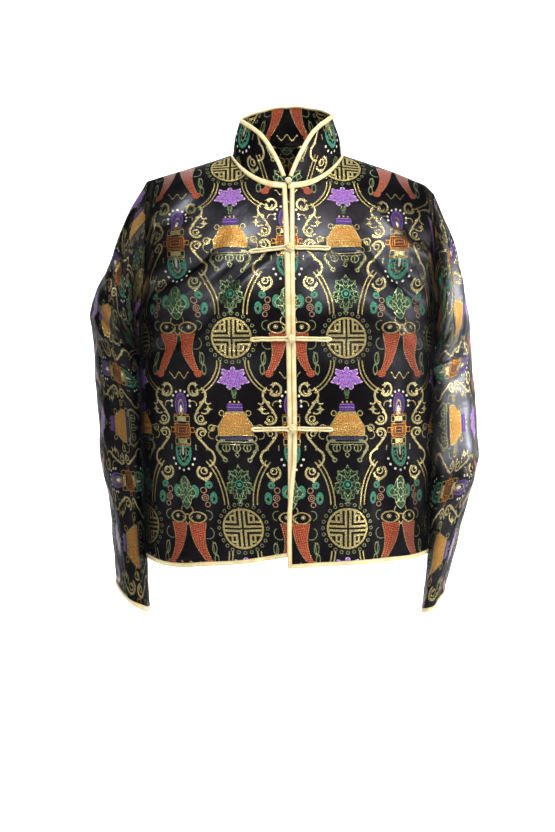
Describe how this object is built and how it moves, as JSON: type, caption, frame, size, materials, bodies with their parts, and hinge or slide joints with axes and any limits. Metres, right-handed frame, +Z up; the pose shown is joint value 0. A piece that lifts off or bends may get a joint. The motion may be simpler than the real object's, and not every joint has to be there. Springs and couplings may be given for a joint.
{
  "type": "tang jacket",
  "caption": "Short figured-brocade jacket with stand collar, front frog fastenings and contrasting bias binding, hollow and open as when worn",
  "frame": {"origin": "middle of the neck base, level with the side neck points, where a wearer carries the jacket", "axes": "+X the wearer's left, -Y the front, +Z up"},
  "size_m": [0.6003, 0.2498, 0.7751],
  "materials": {
    "brocade": "black satin brocade with gold, purple, orange, red and green figures",
    "bias_binding": "cream gold satin bias strip",
    "frog_cord": "cream gold satin rouleau cord"
  },
  "bodies": {
    "root": {"back": "brocade", "front_left": "brocade", "front_right": "brocade", "sleeve_left": "brocade", "sleeve_right": "brocade", "collar": "brocade", "underlap": "brocade", "binding_collar": "bias_binding", "binding_cuff_left": "bias_binding", "binding_cuff_right": "bias_binding", "binding_front_left": "bias_binding", "binding_front_right": "bias_binding", "binding_hem_back": "bias_binding", "binding_hem_left": "bias_binding", "binding_hem_right": "bias_binding", "piping_neck": "frog_cord", "frog_left_1": "frog_cord", "frog_left_2": "frog_cord", "frog_left_3": "frog_cord", "frog_right_1": "frog_cord", "frog_right_2": "frog_cord", "frog_right_3": "frog_cord", "knot_0": "frog_cord", "knot_1": "frog_cord", "knot_2": "frog_cord", "knot_3": "frog_cord"}
  },
  "joints": []
}
